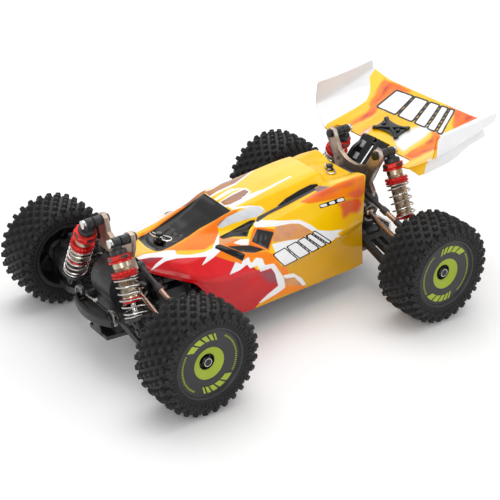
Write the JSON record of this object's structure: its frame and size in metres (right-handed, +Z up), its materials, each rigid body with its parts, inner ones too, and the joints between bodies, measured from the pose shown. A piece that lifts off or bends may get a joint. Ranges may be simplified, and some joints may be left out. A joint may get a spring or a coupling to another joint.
{
  "type": "rc buggy",
  "caption": "Four-wheel-drive radio-controlled off-road buggy with sprung arms, coil-over shocks, knobbly tyres, lift-off painted shell and a high rear wing.",
  "frame": {"origin": "on the ground below the middle of the overall length, on the car's middle plane; the middle between the axles is 16.41 mm nearer the nose, at -Y", "axes": "+Z up, nose towards -Y, +X to the car's left side"},
  "size_m": [0.1874, 0.2748, 0.1129],
  "materials": {
    "tyre_rubber": "matt black rubber",
    "rim_black": "satin black nylon with lime tampo print",
    "steel_bright": "bright plated steel",
    "steel_bronze": "bronze tinted metal",
    "black_plastic": "black glass-filled nylon",
    "red_anodised": "red anodised aluminium with silver tube and black end eye",
    "tower_aluminium": "titanium-tone anodised plate",
    "chassis_aluminium": "dark anodised plate",
    "shell_paint": "clear polycarbonate painted inside in yellow, orange and red",
    "wing_paint": "painted clear polycarbonate with frosted ends",
    "gear_steel": "plain steel",
    "motor_can": "plated steel can",
    "battery_wrap": "dark shrink wrap",
    "screw_black": "black oxide steel"
  },
  "bodies": {
    "chassis": {"chassis_plate": "chassis_aluminium", "front_bumper": "black_plastic", "front_gearbox_case": "black_plastic", "rear_gearbox_case": "black_plastic", "front_shock_tower": "tower_aluminium", "rear_shock_tower": "tower_aluminium", "motor": "motor_can", "battery_and_electronics": "battery_wrap", "steering_servo": "black_plastic", "wing": "wing_paint", "wing_mount": "black_plastic", "fasteners": "screw_black"},
    "centre_shaft": {"centre_shaft": "gear_steel"},
    "motor_pinion": {"motor_pinion": "gear_steel"},
    "front_diff": {"front_diff": "gear_steel"},
    "rear_diff": {"rear_diff": "gear_steel"},
    "arm_rl": {"lower_arm_rl": "black_plastic"},
    "link_rl": {"upper_link_rl": "steel_bright"},
    "dogbone_rl": {"dogbone_rl": "steel_bronze"},
    "wheel_rl": {"wheel_rim_rl": "rim_black", "tyre_rl": "tyre_rubber"},
    "shock_body_rl": {"shock_body_rl": "red_anodised", "shock_spring_rl": "steel_bright"},
    "shock_rod_rl": {"shock_rod_rl": "black_plastic"},
    "hub_rl": {"rear_upright_rl": "black_plastic"},
    "arm_fl": {"lower_arm_fl": "black_plastic"},
    "link_fl": {"upper_link_fl": "steel_bright"},
    "dogbone_fl": {"dogbone_fl": "steel_bronze"},
    "wheel_fl": {"wheel_rim_fl": "rim_black", "tyre_fl": "tyre_rubber"},
    "shock_body_fl": {"shock_body_fl": "red_anodised", "shock_spring_fl": "steel_bright"},
    "shock_rod_fl": {"shock_rod_fl": "black_plastic"},
    "hub_fl": {"steering_carrier_fl": "black_plastic"},
    "knuckle_fl": {"knuckle_fl": "black_plastic"},
    "arm_fr": {"lower_arm_fr": "black_plastic"},
    "link_fr": {"upper_link_fr": "steel_bright"},
    "dogbone_fr": {"dogbone_fr": "steel_bronze"},
    "wheel_fr": {"wheel_rim_fr": "rim_black", "tyre_fr": "tyre_rubber"},
    "shock_body_fr": {"shock_body_fr": "red_anodised", "shock_spring_fr": "steel_bright"},
    "shock_rod_fr": {"shock_rod_fr": "black_plastic"},
    "hub_fr": {"steering_carrier_fr": "black_plastic"},
    "knuckle_fr": {"knuckle_fr": "black_plastic"},
    "arm_rr": {"lower_arm_rr": "black_plastic"},
    "link_rr": {"upper_link_rr": "steel_bright"},
    "dogbone_rr": {"dogbone_rr": "steel_bronze"},
    "wheel_rr": {"wheel_rim_rr": "rim_black", "tyre_rr": "tyre_rubber"},
    "shock_body_rr": {"shock_body_rr": "red_anodised", "shock_spring_rr": "steel_bright"},
    "shock_rod_rr": {"shock_rod_rr": "black_plastic"},
    "hub_rr": {"rear_upright_rr": "black_plastic"},
    "servo_saver": {"servo_saver": "black_plastic"},
    "idler_crank": {"idler_crank": "black_plastic"},
    "steering_bar": {"steering_bar": "tower_aluminium"},
    "tie_rod_left": {"tie_rod_left": "steel_bright"},
    "tie_rod_right": {"tie_rod_right": "steel_bright"},
    "shell": {"body_shell": "shell_paint"}
  },
  "joints": [
    {"name": "suspension_rl", "type": "hinge", "parent": "chassis", "child": "arm_rl", "pos_m": [0.017, 0.07109, 0.032], "axis": [0, -1, 0], "range_deg": [-4, 14], "stiffness_Nm_per_rad": 1.6, "springref_deg": 17.19},
    {"name": "hub_rl_pivot", "type": "hinge", "parent": "arm_rl", "child": "hub_rl", "pos_m": [0.056, 0.07109, 0.021], "axis": [0, -1, 0], "range_deg": [-15, 5]},
    {"name": "link_rl_pivot", "type": "hinge", "parent": "chassis", "child": "link_rl", "pos_m": [0.017, 0.06809, 0.061], "axis": [0, -1, 0], "range_deg": [-5, 15]},
    {"name": "wheel_rl_spin", "type": "hinge", "parent": "hub_rl", "child": "wheel_rl", "pos_m": [0.079, 0.07109, 0.0335], "axis": [1, 0, 0], "continuous": true},
    {"name": "dogbone_rl_spin", "type": "hinge", "parent": "arm_rl", "child": "dogbone_rl", "pos_m": [0.0385, 0.07109, 0.04], "axis": [0.9572, 0, -0.2894], "continuous": true},
    {"name": "shock_rl_swing", "type": "hinge", "parent": "chassis", "child": "shock_body_rl", "pos_m": [0.0226, 0.08259, 0.0876], "axis": [0, -1, 0], "range_deg": [-1.31, 3.08]},
    {"name": "shock_rl_travel", "type": "slide", "parent": "shock_body_rl", "child": "shock_rod_rl", "axis": [-0.4087, 0, 0.9127], "range_m": [-0.0026, 0.00758], "deforming": ["shock_spring_rl"]},
    {"name": "suspension_fl", "type": "hinge", "parent": "chassis", "child": "arm_fl", "pos_m": [0.017, -0.10391, 0.032], "axis": [0, -1, 0], "range_deg": [-4, 14], "stiffness_Nm_per_rad": 1.2, "springref_deg": 17.19},
    {"name": "hub_fl_pivot", "type": "hinge", "parent": "arm_fl", "child": "hub_fl", "pos_m": [0.056, -0.10391, 0.021], "axis": [0, -1, 0], "range_deg": [-15, 5]},
    {"name": "link_fl_pivot", "type": "hinge", "parent": "chassis", "child": "link_fl", "pos_m": [0.017, -0.10091, 0.061], "axis": [0, -1, 0], "range_deg": [-5, 15]},
    {"name": "steer_fl", "type": "hinge", "parent": "hub_fl", "child": "knuckle_fl", "pos_m": [0.06, -0.10391, 0.0335], "axis": [0, 0, 1], "range_deg": [-26, 26]},
    {"name": "wheel_fl_spin", "type": "hinge", "parent": "knuckle_fl", "child": "wheel_fl", "pos_m": [0.079, -0.10391, 0.0335], "axis": [1, 0, 0], "continuous": true},
    {"name": "dogbone_fl_spin", "type": "hinge", "parent": "arm_fl", "child": "dogbone_fl", "pos_m": [0.0385, -0.10391, 0.04], "axis": [0.9572, 0, -0.2894], "continuous": true},
    {"name": "shock_fl_swing", "type": "hinge", "parent": "chassis", "child": "shock_body_fl", "pos_m": [0.0151, -0.11541, 0.08], "axis": [0, -1, 0], "range_deg": [-1.21, 2.75]},
    {"name": "shock_fl_travel", "type": "slide", "parent": "shock_body_fl", "child": "shock_rod_fl", "axis": [-0.4608, 0, 0.8875], "range_m": [-0.00207, 0.00574], "deforming": ["shock_spring_fl"]},
    {"name": "suspension_fr", "type": "hinge", "parent": "chassis", "child": "arm_fr", "pos_m": [-0.017, -0.10391, 0.032], "axis": [0, 1, 0], "range_deg": [-4, 14], "stiffness_Nm_per_rad": 1.2, "springref_deg": 17.19},
    {"name": "hub_fr_pivot", "type": "hinge", "parent": "arm_fr", "child": "hub_fr", "pos_m": [-0.056, -0.10391, 0.021], "axis": [0, 1, 0], "range_deg": [-15, 5]},
    {"name": "link_fr_pivot", "type": "hinge", "parent": "chassis", "child": "link_fr", "pos_m": [-0.017, -0.10091, 0.061], "axis": [0, 1, 0], "range_deg": [-5, 15]},
    {"name": "steer_fr", "type": "hinge", "parent": "hub_fr", "child": "knuckle_fr", "pos_m": [-0.06, -0.10391, 0.0335], "axis": [0, 0, 1], "range_deg": [-26, 26]},
    {"name": "wheel_fr_spin", "type": "hinge", "parent": "knuckle_fr", "child": "wheel_fr", "pos_m": [-0.079, -0.10391, 0.0335], "axis": [1, 0, 0], "continuous": true},
    {"name": "dogbone_fr_spin", "type": "hinge", "parent": "arm_fr", "child": "dogbone_fr", "pos_m": [-0.0385, -0.10391, 0.04], "axis": [0.9572, 0, 0.2894], "continuous": true},
    {"name": "shock_fr_swing", "type": "hinge", "parent": "chassis", "child": "shock_body_fr", "pos_m": [-0.0151, -0.11541, 0.08], "axis": [0, 1, 0], "range_deg": [-1.21, 2.75]},
    {"name": "shock_fr_travel", "type": "slide", "parent": "shock_body_fr", "child": "shock_rod_fr", "axis": [0.4608, 0, 0.8875], "range_m": [-0.00207, 0.00574], "deforming": ["shock_spring_fr"]},
    {"name": "suspension_rr", "type": "hinge", "parent": "chassis", "child": "arm_rr", "pos_m": [-0.017, 0.07109, 0.032], "axis": [0, 1, 0], "range_deg": [-4, 14], "stiffness_Nm_per_rad": 1.6, "springref_deg": 17.19},
    {"name": "hub_rr_pivot", "type": "hinge", "parent": "arm_rr", "child": "hub_rr", "pos_m": [-0.056, 0.07109, 0.021], "axis": [0, 1, 0], "range_deg": [-15, 5]},
    {"name": "link_rr_pivot", "type": "hinge", "parent": "chassis", "child": "link_rr", "pos_m": [-0.017, 0.06809, 0.061], "axis": [0, 1, 0], "range_deg": [-5, 15]},
    {"name": "wheel_rr_spin", "type": "hinge", "parent": "hub_rr", "child": "wheel_rr", "pos_m": [-0.079, 0.07109, 0.0335], "axis": [1, 0, 0], "continuous": true},
    {"name": "dogbone_rr_spin", "type": "hinge", "parent": "arm_rr", "child": "dogbone_rr", "pos_m": [-0.0385, 0.07109, 0.04], "axis": [0.9572, 0, 0.2894], "continuous": true},
    {"name": "shock_rr_swing", "type": "hinge", "parent": "chassis", "child": "shock_body_rr", "pos_m": [-0.0226, 0.08259, 0.0876], "axis": [0, 1, 0], "range_deg": [-1.31, 3.08]},
    {"name": "shock_rr_travel", "type": "slide", "parent": "shock_body_rr", "child": "shock_rod_rr", "axis": [0.4087, 0, 0.9127], "range_m": [-0.0026, 0.00758], "deforming": ["shock_spring_rr"]},
    {"name": "centre_shaft_spin", "type": "hinge", "parent": "chassis", "child": "centre_shaft", "pos_m": [0, -0.01641, 0.0465], "axis": [0, 1, 0], "continuous": true},
    {"name": "motor_spin", "type": "hinge", "parent": "chassis", "child": "motor_pinion", "pos_m": [0.01337, 0.00359, 0.03057], "axis": [0, 1, 0], "continuous": true},
    {"name": "front_diff_spin", "type": "hinge", "parent": "chassis", "child": "front_diff", "pos_m": [0, -0.10391, 0.0465], "axis": [1, 0, 0], "continuous": true},
    {"name": "rear_diff_spin", "type": "hinge", "parent": "chassis", "child": "rear_diff", "pos_m": [0, 0.07109, 0.0465], "axis": [1, 0, 0], "continuous": true},
    {"name": "steering", "type": "hinge", "parent": "chassis", "child": "servo_saver", "pos_m": [0.014, -0.08741, 0.046], "axis": [0, 0, 1], "range_deg": [-25, 25]},
    {"name": "idler_pivot", "type": "hinge", "parent": "chassis", "child": "idler_crank", "pos_m": [-0.014, -0.08741, 0.046], "axis": [0, 0, 1], "range_deg": [-26, 26]},
    {"name": "bar_pivot", "type": "hinge", "parent": "servo_saver", "child": "steering_bar", "pos_m": [0.014, -0.07341, 0.0515], "axis": [0, 0, 1], "range_deg": [-26, 26]},
    {"name": "tie_rod_left_pivot", "type": "hinge", "parent": "steering_bar", "child": "tie_rod_left", "pos_m": [0.021, -0.07341, 0.0465], "axis": [0, -1, 0], "range_deg": [-5, 15]},
    {"name": "tie_rod_right_pivot", "type": "hinge", "parent": "steering_bar", "child": "tie_rod_right", "pos_m": [-0.021, -0.07341, 0.0465], "axis": [0, 1, 0], "range_deg": [-5, 15]},
    {"name": "shell_lift", "type": "slide", "parent": "chassis", "child": "shell", "axis": [0, 0, 1], "range_m": [0, 0.06]}
  ],
  "couplings": [
    {"joint": "hub_rl_pivot", "follows": "suspension_rl", "ratio": -1},
    {"joint": "link_rl_pivot", "follows": "suspension_rl", "ratio": 1},
    {"joint": "dogbone_rl_spin", "follows": "wheel_rl_spin", "ratio": 1},
    {"joint": "shock_rl_swing", "follows": "suspension_rl", "ratio": 0.17687},
    {"joint": "shock_rl_travel", "follows": "suspension_rl", "m_per_rad": 0.028575},
    {"joint": "hub_fl_pivot", "follows": "suspension_fl", "ratio": -1},
    {"joint": "link_fl_pivot", "follows": "suspension_fl", "ratio": 1},
    {"joint": "steer_fl", "follows": "steering", "ratio": 1},
    {"joint": "wheel_fl_spin", "follows": "wheel_rl_spin", "ratio": 1},
    {"joint": "dogbone_fl_spin", "follows": "wheel_rl_spin", "ratio": 1},
    {"joint": "shock_fl_swing", "follows": "suspension_fl", "ratio": 0.15354},
    {"joint": "shock_fl_travel", "follows": "suspension_fl", "m_per_rad": 0.021024},
    {"joint": "hub_fr_pivot", "follows": "suspension_fr", "ratio": -1},
    {"joint": "link_fr_pivot", "follows": "suspension_fr", "ratio": 1},
    {"joint": "steer_fr", "follows": "steering", "ratio": 1},
    {"joint": "wheel_fr_spin", "follows": "wheel_rl_spin", "ratio": 1},
    {"joint": "dogbone_fr_spin", "follows": "wheel_rl_spin", "ratio": 1},
    {"joint": "shock_fr_swing", "follows": "suspension_fr", "ratio": 0.15354},
    {"joint": "shock_fr_travel", "follows": "suspension_fr", "m_per_rad": 0.021024},
    {"joint": "hub_rr_pivot", "follows": "suspension_rr", "ratio": -1},
    {"joint": "link_rr_pivot", "follows": "suspension_rr", "ratio": 1},
    {"joint": "wheel_rr_spin", "follows": "wheel_rl_spin", "ratio": 1},
    {"joint": "dogbone_rr_spin", "follows": "wheel_rl_spin", "ratio": 1},
    {"joint": "shock_rr_swing", "follows": "suspension_rr", "ratio": 0.17687},
    {"joint": "shock_rr_travel", "follows": "suspension_rr", "m_per_rad": 0.028575},
    {"joint": "centre_shaft_spin", "follows": "wheel_rl_spin", "ratio": -3},
    {"joint": "motor_spin", "follows": "wheel_rl_spin", "ratio": 9},
    {"joint": "front_diff_spin", "follows": "wheel_rl_spin", "ratio": 1},
    {"joint": "rear_diff_spin", "follows": "wheel_rl_spin", "ratio": 1},
    {"joint": "idler_pivot", "follows": "steering", "ratio": 1},
    {"joint": "bar_pivot", "follows": "steering", "ratio": -1},
    {"joint": "tie_rod_left_pivot", "follows": "suspension_fl", "ratio": 1},
    {"joint": "tie_rod_right_pivot", "follows": "suspension_fr", "ratio": 1}
  ]
}
